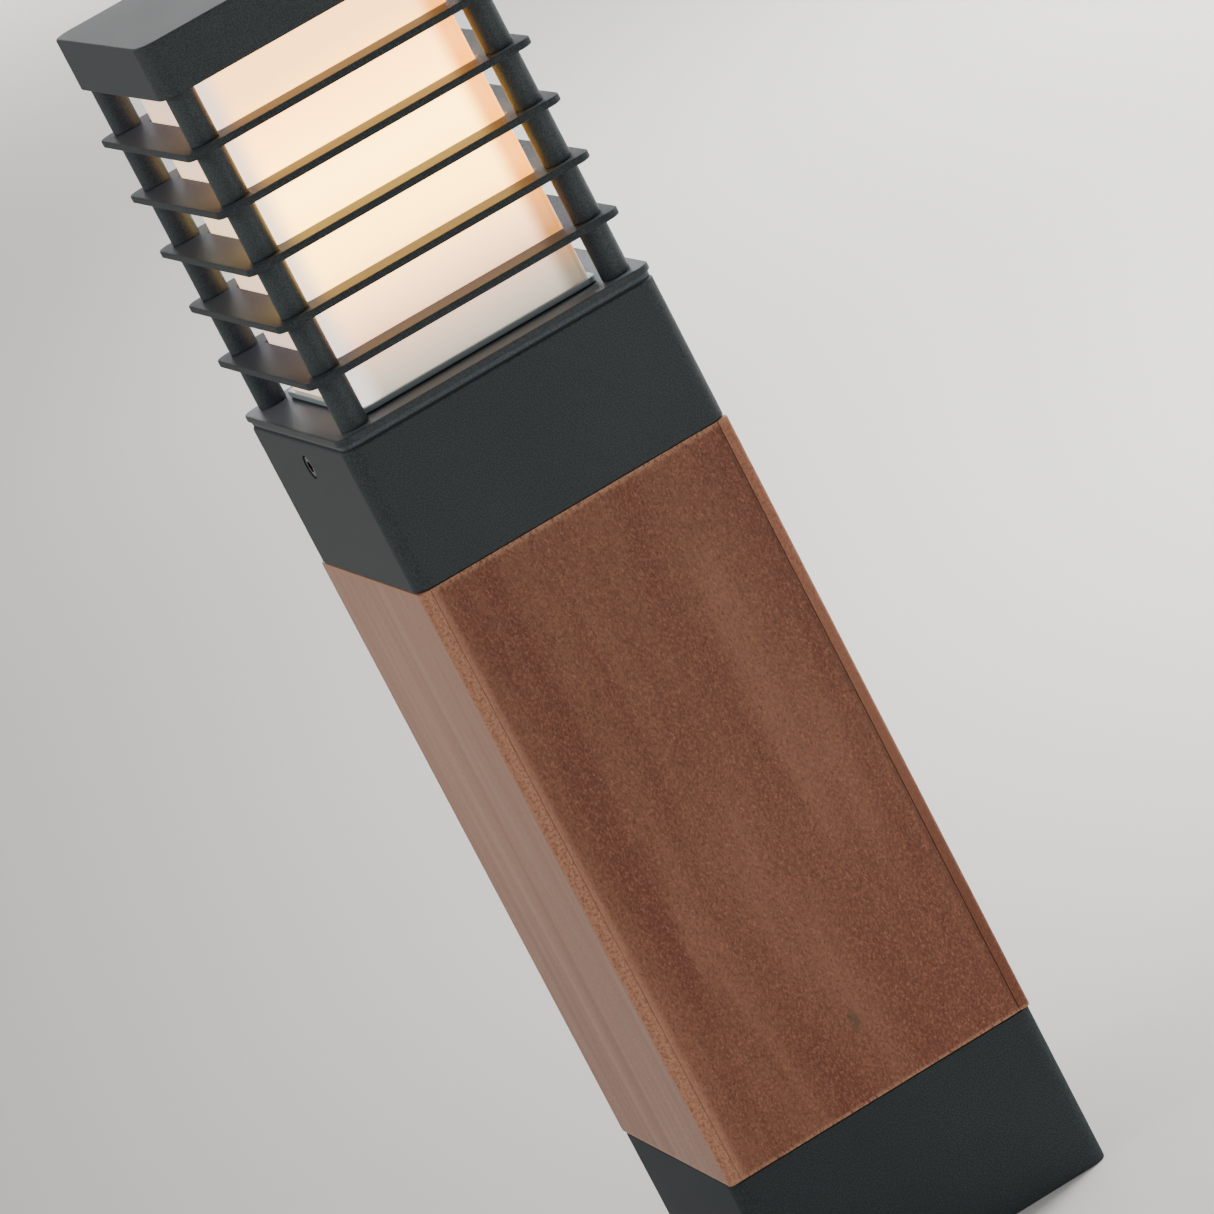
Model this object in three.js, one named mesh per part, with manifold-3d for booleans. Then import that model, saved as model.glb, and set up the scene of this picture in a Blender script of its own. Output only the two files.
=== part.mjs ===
// Garden bollard light: a louvred lantern head on a timber-clad post.
// Units are millimetres, +Z is up, and the origin is the middle of the foot on the ground.
import * as THREE from "three";
import { mergeVertices } from "three/addons/utils/BufferGeometryUtils.js";
import Module from "manifold-3d";

// Widths across the flats of the square sections.
const sleeveWidth = 120; // timber sleeve
const castingWidth = 120; // foot and collar
const lipWidth = 120.6; // top lip of the head plate
const louvreWidth = 119.5;
const capWidth = 116;
const diffuserWidth = 88;

// Heights, from the ground up.
const footHeight = 60;
const sleeveHeight = 227.3;
const collarTop = 340.5;
const headPlateBottom = 341.2;
const lipBottom = 342.7;
const headPlateTop = 345.2;
const louvreCount = 5;
const louvreThickness = 2.6;
const spacerHeight = 18.5;
const capHeight = 19.1;

// Corner radii and walls.
const castingRadius = 6;
const louvreRadius = 5;
const capRadius = 7;
const timberRadius = 1.9;
const castingWall = 3.8;
const footWall = 3.5;
const webThickness = 4;
const skirtWall = 3;
const diffuserWall = 3;

// Corner columns.
const columnOffset = 50.5; // column axis from the middle, in X and in Y
const spacerRadius = 5.1;
const rodRadius = 2.5;
const rodHoleRadius = 2.8;

// Fits and facets.
const gap = 0.3;
const cornerFacets = 4;

const sleeveBottom = footHeight + gap;
const sleeveTop = sleeveBottom + sleeveHeight;
const collarBottom = sleeveTop + gap;
const louvrePitch = louvreThickness + spacerHeight;
const capBottom = headPlateTop + louvreCount * louvrePitch + spacerHeight;
const capTop = capBottom + capHeight;
const corners = [
  ["front_left", -1, -1],
  ["front_right", 1, -1],
  ["back_right", 1, 1],
  ["back_left", -1, 1],
];

const paint = new THREE.MeshStandardMaterial({ color: 0x2b3133, roughness: 0.62, metalness: 0.2 });
const timber = new THREE.MeshStandardMaterial({ color: 0x7a4630, roughness: 0.6, metalness: 0 });
const opal = new THREE.MeshStandardMaterial({ color: 0xf6ead8, roughness: 0.35, metalness: 0 });
const rubber = new THREE.MeshStandardMaterial({ color: 0x17191a, roughness: 0.85, metalness: 0 });
const stainless = new THREE.MeshStandardMaterial({ color: 0xb9bbbc, roughness: 0.3, metalness: 1 });
const aluminium = new THREE.MeshStandardMaterial({ color: 0xa9acae, roughness: 0.45, metalness: 1 });
const zincSteel = new THREE.MeshStandardMaterial({ color: 0x8f9497, roughness: 0.5, metalness: 1 });
const ceramic = new THREE.MeshStandardMaterial({ color: 0xe8e6e0, roughness: 0.4, metalness: 0 });
const nylon = new THREE.MeshStandardMaterial({ color: 0x33373a, roughness: 0.7, metalness: 0 });
const sheath = new THREE.MeshStandardMaterial({ color: 0x1d1f20, roughness: 0.8, metalness: 0 });

const wasm = await Module();
wasm.setup();
const bollard = new THREE.Group();

// Geometry helpers. Cutting and joining work on manifold-3d solids.

function solid(geometry) {
  const bare = geometry.index ? geometry.toNonIndexed() : geometry.clone();
  bare.deleteAttribute("normal");
  bare.deleteAttribute("uv");
  const merged = mergeVertices(bare, 1e-4);
  return new wasm.Manifold(
    new wasm.Mesh({
      numProp: 3,
      vertProperties: merged.attributes.position.array,
      triVerts: new Uint32Array(merged.index.array),
    }),
  );
}

function geometryOf(manifold) {
  const mesh = manifold.getMesh();
  const geometry = new THREE.BufferGeometry();
  geometry.setAttribute("position", new THREE.BufferAttribute(mesh.vertProperties, 3));
  geometry.setIndex(new THREE.BufferAttribute(mesh.triVerts, 1));
  geometry.computeVertexNormals();
  return geometry;
}

function add(name, shape, material) {
  const geometry = shape.isBufferGeometry ? shape : geometryOf(shape);
  const mesh = new THREE.Mesh(geometry, material);
  mesh.name = name;
  bollard.add(mesh);
  return mesh;
}

function circle(radius, facets, x = 0, y = 0) {
  return Array.from({ length: facets }, (_, i) => {
    const turn = (2 * Math.PI * (i + 0.5)) / facets;
    return new THREE.Vector2(x + radius * Math.cos(turn), y + radius * Math.sin(turn));
  });
}

// Outline of a rectangle with rounded corners, anticlockwise.
function roundedRectangle(halfX, halfY, radius, facets = cornerFacets) {
  const points = [];
  for (const [sx, sy, start] of [[1, 1, 0], [-1, 1, 1], [-1, -1, 2], [1, -1, 3]]) {
    for (let i = 0; i <= facets; i++) {
      const turn = ((start + i / facets) * Math.PI) / 2;
      const x = sx * (halfX - radius) + radius * Math.cos(turn);
      const y = sy * (halfY - radius) + radius * Math.sin(turn);
      points.push(new THREE.Vector2(x, y));
    }
  }
  return points;
}

function roundedSquare(width, radius, facets) {
  return roundedRectangle(width / 2, width / 2, radius, facets);
}

// A prism from z = bottom to z = top over an outline, with holes through it.
function prism(outline, bottom, top, holes = []) {
  const shape = new THREE.Shape(outline);
  shape.holes = holes.map((points) => new THREE.Path(points));
  const geometry = new THREE.ExtrudeGeometry(shape, { depth: top - bottom, bevelEnabled: false });
  return geometry.translate(0, 0, bottom);
}

// A solid of revolution about Z. The profile is [radius, height] pairs from the bottom up.
function turned(profile, facets) {
  const points = profile.map(([radius, height]) => new THREE.Vector2(radius, height));
  return new THREE.LatheGeometry(points, facets).rotateX(Math.PI / 2);
}

function columnHoles(radius, facets = 12) {
  return corners.map(([, sx, sy]) => circle(radius, facets, sx * columnOffset, sy * columnOffset));
}

// A cylinder along X, centred on the given height, for drilling side walls.
function crossCylinder(radius, fromX, toX, height, facets = 20) {
  const geometry = new THREE.CylinderGeometry(radius, radius, Math.abs(toX - fromX), facets);
  return solid(geometry.rotateZ(Math.PI / 2).translate((fromX + toX) / 2, 0, height));
}

// Screws that clamp from the left and right faces.
const clampScrew = { height: 330.4, headRadius: 4.1, headLength: 1.4, shankRadius: 2.5 };
const footScrew = { height: 14, headRadius: 4.1, headLength: 1.4, shankRadius: 2.5 };
const counterbore = { radius: 4.5, depth: 1.8, holeRadius: 2.8 };
const hexAcrossFlats = 4;

function drillForScrews(casting, height, wall) {
  const face = castingWidth / 2;
  let drilled = casting;
  for (const side of [-1, 1]) {
    const seat = side * (face - counterbore.depth);
    drilled = drilled.subtract(crossCylinder(counterbore.radius, seat, side * (face + 1), height));
    const inside = side * (face - wall - 1);
    drilled = drilled.subtract(crossCylinder(counterbore.holeRadius, inside, side * (face + 1), height));
  }
  return drilled;
}

function sideScrew(name, side, screw, tipX) {
  const seat = castingWidth / 2 - counterbore.depth + 0.05;
  const headEnd = seat + screw.headLength;
  const head = crossCylinder(screw.headRadius, side * seat, side * headEnd, screw.height);
  const shank = crossCylinder(screw.shankRadius, side * tipX, side * (seat + 0.5), screw.height, 12);
  const socketRadius = hexAcrossFlats / Math.sqrt(3);
  const socket = crossCylinder(socketRadius, side * (headEnd - 1.1), side * (headEnd + 1), screw.height, 6);
  add(name, head.add(shank).subtract(socket), stainless);
}

// Ground bracket: a plate that is anchored first, with an upstand that the foot slides over.
const bracketHalf = castingWidth / 2 - footWall - 0.5;
const glandX = -22;

function groundBracket() {
  const outline = roundedRectangle(bracketHalf, bracketHalf, 3);
  const anchors = corners.map(([, sx, sy]) => circle(3.5, 12, sx * 40, sy * 40));
  const plate = solid(prism(outline, 0, 4, [...anchors, circle(8.2, 16, glandX, 0)]));
  const inner = roundedRectangle(bracketHalf - 3, bracketHalf - 3, 1.5, 2);
  const upstand = solid(prism(outline, 3.5, 24, [inner]));
  let bracket = plate.add(upstand);
  for (const side of [-1, 1]) {
    const ends = [side * (bracketHalf - 5), side * (bracketHalf + 1)];
    bracket = bracket.subtract(crossCylinder(3.2, ends[0], ends[1], footScrew.height, 16));
  }
  add("ground_bracket", bracket, zincSteel);
}

// Foot: a cast box, open below, whose top web carries the core tube and the timber.
const tubeHalf = 49.4;
const portOffset = 42;

function foot() {
  const outer = roundedSquare(castingWidth, castingRadius);
  const inner = roundedSquare(castingWidth - 2 * footWall, castingRadius - footWall);
  const walls = solid(prism(outer, 0, footHeight, [inner]));
  const ports = corners.map(([, sx, sy]) => circle(2.6, 10, sx * portOffset, sy * portOffset));
  const cableHole = circle(12, 16, glandX, 0);
  const web = solid(prism(outer, footHeight - webThickness, footHeight, [...ports, cableHole]));
  add("foot_casting", drillForScrews(walls.add(web), footScrew.height, footWall), paint);
  sideScrew("foot_screw_left", -1, footScrew, bracketHalf - 3);
  sideScrew("foot_screw_right", 1, footScrew, bracketHalf - 3);
}

// Core tube: an extrusion with a screw port in each corner.
function coreTube() {
  const wall = 2.6;
  const inner = roundedRectangle(tubeHalf - wall, tubeHalf - wall, 1, 1);
  let tube = solid(prism(roundedRectangle(tubeHalf, tubeHalf, 2, 2), sleeveBottom, sleeveTop, [inner]));
  for (const [, sx, sy] of corners) {
    const middle = tubeHalf - 6.5;
    const rib = new THREE.BoxGeometry(10, 10, sleeveHeight);
    rib.translate(sx * middle, sy * middle, sleeveBottom + sleeveHeight / 2);
    tube = tube.add(solid(rib));
    const bore = circle(2.1, 10, sx * portOffset, sy * portOffset);
    tube = tube.subtract(solid(prism(bore, sleeveBottom - 1, sleeveTop + 1)));
  }
  add("core_tube", tube, aluminium);
}

// Timber sleeve: the side boards keep a lip over the ends of the front and back boards.
const boardThickness = 9.8;
const boardLip = 4.2;
const panelRecess = 0.25;

function sideBoard(name, side) {
  const half = sleeveWidth / 2;
  const innerX = half - boardThickness;
  const shape = new THREE.Shape();
  shape.moveTo(innerX, -(half - boardThickness - 0.1));
  shape.lineTo(half - boardLip, -(half - boardThickness - 0.1));
  shape.lineTo(half - boardLip, -half + 0.2);
  for (let i = 0; i <= cornerFacets; i++) {
    const turn = -Math.PI / 2 + (i / cornerFacets) * (Math.PI / 2);
    const x = half - timberRadius + timberRadius * Math.cos(turn);
    shape.lineTo(x, -half + timberRadius + timberRadius * Math.sin(turn));
  }
  for (let i = 0; i <= cornerFacets; i++) {
    const turn = (i / cornerFacets) * (Math.PI / 2);
    const x = half - timberRadius + timberRadius * Math.cos(turn);
    shape.lineTo(x, half - timberRadius + timberRadius * Math.sin(turn));
  }
  shape.lineTo(half - boardLip, half - 0.2);
  shape.lineTo(half - boardLip, half - boardThickness - 0.1);
  shape.lineTo(innerX, half - boardThickness - 0.1);
  const board = new THREE.ExtrudeGeometry(shape, { depth: sleeveHeight, bevelEnabled: false });
  board.translate(0, 0, sleeveBottom);
  if (side < 0) board.rotateZ(Math.PI);
  add(name, board, timber);
}

function panelBoard(name, side) {
  const length = sleeveWidth - 2 * boardLip - 2 * gap;
  const thickness = boardThickness - panelRecess - 0.1;
  const board = new THREE.BoxGeometry(length, thickness, sleeveHeight);
  const middleY = side * (sleeveWidth / 2 - panelRecess - thickness / 2);
  add(name, board.translate(0, middleY, sleeveBottom + sleeveHeight / 2), timber);
}

function timberSleeve() {
  sideBoard("timber_board_left", -1);
  sideBoard("timber_board_right", 1);
  panelBoard("timber_board_front", -1);
  panelBoard("timber_board_back", 1);
}

// Collar: a cast box, open above, that houses the lampholder and takes the head's skirt.
const collarInner = castingWidth - 2 * castingWall;

function collar() {
  const outer = roundedSquare(castingWidth, castingRadius);
  const inner = roundedSquare(collarInner, castingRadius - castingWall);
  const chamfer = 1;
  const walls = solid(prism(outer, collarBottom, collarTop - chamfer, [inner]));
  const rimOutline = roundedSquare(castingWidth - 2 * chamfer, castingRadius - chamfer);
  const rim = solid(prism(rimOutline, collarTop - chamfer, collarTop, [inner]));
  const ports = corners.map(([, sx, sy]) => circle(2.6, 10, sx * portOffset, sy * portOffset));
  const holes = [...ports, circle(12, 16, glandX, 0), ...[-1, 1].map((s) => circle(2.2, 8, s * 44, 0))];
  const floor = solid(prism(outer, collarBottom, collarBottom + webThickness, holes));
  const casting = walls.add(rim).add(floor);
  add("collar_casting", drillForScrews(casting, clampScrew.height, castingWall), paint);
  const tipX = skirtHalf + gap;
  sideScrew("clamp_screw_left", -1, clampScrew, tipX);
  sideScrew("clamp_screw_right", 1, clampScrew, tipX);
}

// Head plate: a stepped lip with a skirt below it that slides into the collar.
const skirtHalf = collarInner / 2 - 0.9;
const skirtBottom = 320;
const mouthHalf = 40.5;
const stepWidth = lipWidth - 2;
const rodHead = { acrossFlats: 8, height: 3.5, relief: 5.3 };

function headPlate() {
  const mouth = roundedRectangle(mouthHalf, mouthHalf, 3, 2);
  const holes = [mouth, ...columnHoles(rodHoleRadius)];
  const lip = solid(prism(roundedSquare(lipWidth, louvreRadius + 0.5), lipBottom, headPlateTop, holes));
  const stepOutline = roundedSquare(stepWidth, louvreRadius - 0.5);
  const step = solid(prism(stepOutline, headPlateBottom, lipBottom, holes));
  const skirtOuter = roundedRectangle(skirtHalf, skirtHalf, 2, 2);
  const skirtInner = roundedRectangle(skirtHalf - skirtWall, skirtHalf - skirtWall, 1, 1);
  const skirt = solid(prism(skirtOuter, skirtBottom, headPlateBottom + 0.5, [skirtInner]));
  const reliefs = columnHoles(rodHead.relief, 16);
  const notches = reliefs.map((hole) => solid(prism(hole, skirtBottom - 1, headPlateBottom + 1)));
  const flanges = notches.reduce((body, notch) => body.subtract(notch), skirt);
  add("head_plate", lip.add(step).add(flanges), paint);
}

function headGasket() {
  const outer = roundedSquare(stepWidth, louvreRadius - 0.5);
  const inner = roundedRectangle(skirtHalf + 0.4, skirtHalf + 0.4, 2.2, 2);
  add("head_gasket", prism(outer, collarTop + 0.05, headPlateBottom, [inner]), rubber);
}

// Diffuser: an opal box, open below, with a foot flange on a gasket.
const diffuserSeat = headPlateTop + 0.7;
const diffuserTop = capBottom + 7;

function diffuser() {
  const half = diffuserWidth / 2;
  const hollowHalf = half - diffuserWall;
  const flange = roundedRectangle(half + 2, half + 2, 4);
  const outer = roundedRectangle(half, half, 3);
  const hollow = roundedRectangle(hollowHalf, hollowHalf, 1.5, 2);
  const foot = solid(prism(flange, diffuserSeat, diffuserSeat + 1.8, [hollow]));
  const walls = solid(prism(outer, diffuserSeat + 1, diffuserTop, [hollow]));
  const ceiling = solid(prism(outer, diffuserTop - diffuserWall, diffuserTop));
  add("diffuser", foot.add(walls).add(ceiling), opal);
  const seal = roundedRectangle(half + 1.6, half + 1.6, 3.6);
  const sealInner = roundedRectangle(hollowHalf + 0.4, hollowHalf + 0.4, 1.8, 2);
  add("diffuser_gasket", prism(seal, headPlateTop, diffuserSeat, [sealInner]), rubber);
}

// Louvres and the spacer columns between them, held by four tie rods.
function louvres() {
  const opening = roundedRectangle(diffuserWidth / 2 + 1, diffuserWidth / 2 + 1, 3.5, 3);
  for (let i = 0; i < louvreCount; i++) {
    const bottom = headPlateTop + spacerHeight + i * louvrePitch;
    const outline = roundedSquare(louvreWidth, louvreRadius);
    const holes = [opening, ...columnHoles(rodHoleRadius)];
    add(`louvre_${i + 1}`, prism(outline, bottom, bottom + louvreThickness, holes), paint);
  }
}

function spacers() {
  for (let level = 0; level <= louvreCount; level++) {
    const bottom = headPlateTop + level * louvrePitch;
    for (const [corner, sx, sy] of corners) {
      const [x, y] = [sx * columnOffset, sy * columnOffset];
      const bore = circle(rodHoleRadius, 10, x, y);
      const tube = prism(circle(spacerRadius, 16, x, y), bottom, bottom + spacerHeight, [bore]);
      add(`spacer_${corner}_${level + 1}`, tube, paint);
    }
  }
}

const rodSocketDepth = 12;

function tieRods() {
  const top = capBottom + rodSocketDepth - 1;
  const headRadius = rodHead.acrossFlats / Math.sqrt(3);
  for (const [corner, sx, sy] of corners) {
    const [x, y] = [sx * columnOffset, sy * columnOffset];
    const seat = headPlateBottom - 0.1;
    const head = solid(prism(circle(headRadius, 6, x, y), seat - rodHead.height, seat));
    const shank = solid(prism(circle(rodRadius, 10, x, y), seat - 1, top));
    add(`tie_rod_${corner}`, head.add(shank), stainless);
  }
}

// Cap: a cast lid with a boss in each corner for its tie rod.
function cap() {
  const wall = 3.5;
  const outer = roundedSquare(capWidth, capRadius);
  const pocket = roundedSquare(capWidth - 2 * wall, capRadius - wall);
  const chamfer = 0.8;
  const roof = solid(prism(outer, capTop - 5, capTop - chamfer));
  const crown = solid(prism(roundedSquare(capWidth - 2 * chamfer, capRadius - chamfer), capTop - 1, capTop));
  let body = solid(prism(outer, capBottom, capTop - chamfer, [pocket])).add(roof).add(crown);
  for (const [, sx, sy] of corners) {
    const [x, y] = [sx * columnOffset, sy * columnOffset];
    body = body.add(solid(prism(circle(6.2, 16, x, y), capBottom, capTop - 4.5)));
    const socket = circle(rodHoleRadius, 10, x, y);
    body = body.subtract(solid(prism(socket, capBottom - 1, capBottom + rodSocketDepth)));
  }
  add("cap", body, paint);
}

// Lamp: a screw-base bulb in a holder that stands on a bracket across the collar floor.
const lampCentre = 408;
const bulbRadius = 30;
const lampCapBottom = 330;
const lampCapTop = 355;
const holder = { bottom: 312, top: 354.9, radius: 19, bore: 14.2, boreBottom: 328 };

function lampholder() {
  const { bottom, top, radius, bore, boreBottom } = holder;
  const profile = [[0, bottom], [radius - 3, bottom], [radius, bottom + 12], [radius, top]];
  profile.push([bore, top], [bore, boreBottom], [0, boreBottom]);
  add("lampholder", turned(profile, 24), ceramic);
}

function holderBracket() {
  const foot = collarBottom + webThickness + gap;
  const top = holder.bottom - gap;
  const shape = new THREE.Shape();
  const outline = [[-50, foot], [-36, foot], [-30, top - 2.5], [30, top - 2.5], [36, foot], [50, foot]];
  outline.push([50, foot + 2.5], [37.5, foot + 2.5], [31.5, top], [-31.5, top], [-37.5, foot + 2.5]);
  outline.push([-50, foot + 2.5]);
  outline.forEach(([x, z], i) => (i ? shape.lineTo(x, z) : shape.moveTo(x, z)));
  const bar = new THREE.ExtrudeGeometry(shape, { depth: 28, bevelEnabled: false });
  let bracket = solid(bar.translate(0, 0, -14).rotateX(Math.PI / 2));
  for (const side of [-1, 1]) {
    const hole = circle(2.2, 8, side * 44, 0);
    bracket = bracket.subtract(solid(prism(hole, foot - 1, foot + 4)));
  }
  add("lampholder_bracket", bracket, zincSteel);
  for (const [name, side] of [["bracket_screw_left", -1], ["bracket_screw_right", 1]]) {
    const seat = foot + 2.5;
    const profile = [[0, seat - 6], [1.9, seat - 6], [1.9, seat + 0.1], [3.6, seat + 0.1], [3.6, seat + 1.4]];
    profile.push([2.4, seat + 2.5], [0, seat + 2.5]);
    add(name, turned(profile, 12).translate(side * 44, 0, 0), stainless);
  }
}

function lamp() {
  const screwShell = [[0, lampCapBottom], [5, lampCapBottom], [8, lampCapBottom + 5]];
  screwShell.push([13.2, lampCapBottom + 7], [13.2, lampCapTop], [0, lampCapTop]);
  add("lamp_screw_cap", turned(screwShell, 20), aluminium);
  const neck = 15.5;
  const bulb = [[0, lampCapTop + gap], [14.5, lampCapTop + gap], [neck, lampCapTop + 4]];
  const start = Math.acos(-0.82);
  for (let i = 0; i <= 12; i++) {
    const turn = start * (1 - i / 12);
    bulb.push([i === 12 ? 0 : bulbRadius * Math.sin(turn), lampCentre + bulbRadius * Math.cos(turn)]);
  }
  add("lamp_bulb", turned(bulb, 24), opal);
}

// Wiring: the supply gland and terminal block on the ground bracket, and the lead up the tube.
const terminal = { x: 22, y: 0, length: 48, depth: 18, height: 20, floor: 4.3 };

function cableGland() {
  const profile = [[0, 0.4], [7.6, 0.4], [7.6, 4.3], [11, 4.3], [11, 9.5], [8.8, 10.5]];
  profile.push([8.8, 17], [6.5, 20.5], [4.2, 20.5], [4.2, 6], [0, 6]);
  add("cable_gland", turned(profile, 18).translate(glandX, 0, 0), nylon);
}

function terminalBlock() {
  const { x, y, length, depth, height, floor } = terminal;
  let block = solid(new THREE.BoxGeometry(depth, length, height).translate(x, y, floor + height / 2));
  for (let pole = -1; pole <= 1; pole++) {
    const poleY = y + pole * 14;
    block = block.subtract(solid(prism(circle(3, 10, x, poleY), floor + height - 5, floor + height + 1)));
  }
  add("terminal_block", block, nylon);
}

// The lead leaves the block sideways, climbs through the foot web and the tube, and ends at the holder.
function lampLead() {
  const start = terminal.x - terminal.depth / 2 - 1.5;
  const route = [
    [start, 0, 14], [start - 9, 0, 16], [-12, 0, 30], [glandX + 1, 0, 46], [glandX, 0, 70], [-24, 3, 120],
    [-21, -3, 180], [-24, 2, 240], [glandX, 0, 282], [-21, 0, 298], [-14.5, 0, 306.5],
  ];
  const curve = new THREE.CatmullRomCurve3(route.map((p) => new THREE.Vector3(...p)));
  const section = new THREE.Shape(circle(3.1, 8));
  add("lamp_lead", new THREE.ExtrudeGeometry(section, { steps: 30, extrudePath: curve }), sheath);
}

groundBracket();
foot();
coreTube();
timberSleeve();
collar();
headPlate();
headGasket();
diffuser();
louvres();
spacers();
tieRods();
cap();
lampholder();
holderBracket();
lamp();
cableGland();
terminalBlock();
lampLead();

export default bollard;
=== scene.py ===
import math

import bmesh
import bpy
from mathutils import Matrix, Quaternion, Vector


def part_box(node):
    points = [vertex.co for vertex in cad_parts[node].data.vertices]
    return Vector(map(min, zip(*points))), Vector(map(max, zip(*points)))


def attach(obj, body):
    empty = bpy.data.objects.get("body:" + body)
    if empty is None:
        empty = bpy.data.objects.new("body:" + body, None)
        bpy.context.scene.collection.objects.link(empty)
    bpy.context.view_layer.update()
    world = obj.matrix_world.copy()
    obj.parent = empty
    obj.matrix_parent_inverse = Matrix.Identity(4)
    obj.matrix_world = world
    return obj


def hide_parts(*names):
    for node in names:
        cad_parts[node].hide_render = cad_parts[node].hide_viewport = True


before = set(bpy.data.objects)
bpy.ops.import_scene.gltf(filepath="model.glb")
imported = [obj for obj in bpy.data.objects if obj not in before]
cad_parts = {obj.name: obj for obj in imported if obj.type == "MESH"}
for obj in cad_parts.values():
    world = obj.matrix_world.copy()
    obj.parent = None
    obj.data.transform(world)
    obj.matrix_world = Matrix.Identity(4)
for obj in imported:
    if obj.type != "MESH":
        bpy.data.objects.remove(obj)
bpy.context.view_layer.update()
scene = bpy.context.scene
mm = 0.001
touching = 1e-6  # metres that count as the same place
print("frame loaded with", len(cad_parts), "nodes")


class Wire:  # a node's output that can be used in sums
    def __init__(self, finish, socket):
        self.finish = finish
        self.socket = socket

    def math(self, operation, other=0.0, clamp=False):
        inputs = {0: self, 1: other}
        settings = {"operation": operation, "use_clamp": clamp}
        return self.finish.node("ShaderNodeMath", settings, inputs)

    def __add__(self, other):
        return self.math("ADD", other)

    def __mul__(self, other):
        return self.math("MULTIPLY", other)

    def __sub__(self, other):
        return self.math("SUBTRACT", other)

    def __rsub__(self, other):
        return self.finish.node("ShaderNodeMath", {"operation": "SUBTRACT"}, {0: other, 1: self})

    def __truediv__(self, other):
        return self.math("DIVIDE", other)

    def __pow__(self, other):
        return self.math("POWER", other)

    __radd__ = __add__
    __rmul__ = __mul__

    def step(self, low, high):  # soft step from 0 at low to 1 at high
        settings = {"interpolation_type": "SMOOTHSTEP"}
        inputs = {"Value": self, "From Min": low, "From Max": high}
        return self.finish.node("ShaderNodeMapRange", settings, inputs)


class Finish:  # one material and its nodes
    def __init__(self, name):
        self.material = bpy.data.materials.new(name)
        self.material.use_nodes = True
        self.tree = self.material.node_tree
        self.tree.nodes.clear()
        self.place = self.node("ShaderNodeTexCoord", output="Object")

    def node(self, kind, settings=None, inputs=None, output=0):
        made = self.tree.nodes.new(kind)
        for key, value in (settings or {}).items():
            if key == "stops":
                self.fillRamp(made.color_ramp, value)
            else:
                setattr(made, key, value)
        for key, value in (inputs or {}).items():
            if isinstance(value, Wire):
                self.tree.links.new(value.socket, made.inputs[key])
            else:
                made.inputs[key].default_value = value
        return Wire(self, made.outputs[output])

    def fillRamp(self, ramp, stops):
        for element, (position, colour) in zip(ramp.elements, (stops[0], stops[-1])):
            element.position = position
            element.color = (*colour, 1)
        for position, colour in stops[1:-1]:
            ramp.elements.new(position).color = (*colour, 1)

    def ramp(self, factor, stops):
        return self.node("ShaderNodeValToRGB", {"stops": stops}, {0: factor})

    def stretch(self, scale, shift=(0, 0, 0)):
        inputs = {"Vector": self.place, "Scale": scale, "Location": shift}
        return self.node("ShaderNodeMapping", inputs=inputs)

    def noise(self, scale, detail=2.0, roughness=0.5, at=None, distortion=0.0):
        inputs = {"Vector": at or self.place, "Scale": scale, "Detail": detail}
        inputs.update({"Roughness": roughness, "Distortion": distortion})
        return self.node("ShaderNodeTexNoise", inputs=inputs)

    def mix(self, factor, first, second, blend="MIX"):
        pad = [c if isinstance(c, Wire) else (*c, 1) for c in (first, second)]
        settings = {"data_type": "RGBA", "blend_type": blend}
        return self.node("ShaderNodeMix", settings, {0: factor, 6: pad[0], 7: pad[1]}, output=2)

    def axes(self):
        split = self.node("ShaderNodeSeparateXYZ", inputs={0: self.place})
        outputs = split.socket.node.outputs
        return [Wire(self, outputs[i]) for i in range(3)]

    def bump(self, height, strength, distance):
        inputs = {"Height": height, "Strength": strength, "Distance": distance}
        return self.node("ShaderNodeBump", inputs=inputs)

    # an output node has no outputs, so it is made apart
    def finishWith(self, shader):
        output = self.tree.nodes.new("ShaderNodeOutputMaterial")
        self.tree.links.new(shader.socket, output.inputs[0])
        return self.material


def principled(finish, inputs):
    padded = {}
    for key, value in inputs.items():
        padded[key] = (*value, 1) if isinstance(value, tuple) else value
    return finish.finishWith(finish.node("ShaderNodeBsdfPrincipled", inputs=padded))


powderCoat = {
    "dark": (0.0370, 0.0440, 0.0470),
    "light": (0.0770, 0.0890, 0.0935),
    "grain": 2100,
    "cloud": 22,
    "relief": 0.00022,
    "rimAt": (0.0592, 0.0596),
    "cornerShare": 0.5124,  # makes a rounded corner count as far out as a flat side
    # painted light and shade: each part below is the same anthracite paint, made lighter or darker
    # by its own tone offset, darkest on the foot
    "casting": {"roughness": 0.50, "specular": 0.10, "paintedShading": -0.14},
    "cap": {"roughness": 0.50, "specular": 0.10, "paintedShading": 0.02},
    "foot": {"roughness": 0.62, "specular": 0.03, "paintedShading": -0.40},
    "plate": {
        "roughness": 0.55, "specular": 0.12, "paintedShading": -0.28, "span": (0.046, 0.058),
        "near": (0.66, 0.76, 1.28), "far": (0.88, 0.95, 1.10), "rim": (0.92, 0.94, 0.94),
    },
    "headPlate": {
        "roughness": 0.48, "specular": 0.26, "paintedShading": 0.05, "span": (0.046, 0.058),
        "near": (1.20, 1.30, 1.50), "far": (1.40, 1.52, 1.65), "rim": (0.74, 0.76, 0.77),
    },
    "column": {
        "roughness": 0.42, "specular": 0.15, "paintedShading": 0.0, "span": (0.0472, 0.0522),
        "near": (0.48, 0.60, 0.88), "far": (1.08, 1.10, 1.10), "rim": (1.08, 1.10, 1.10),
    },
}


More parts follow.
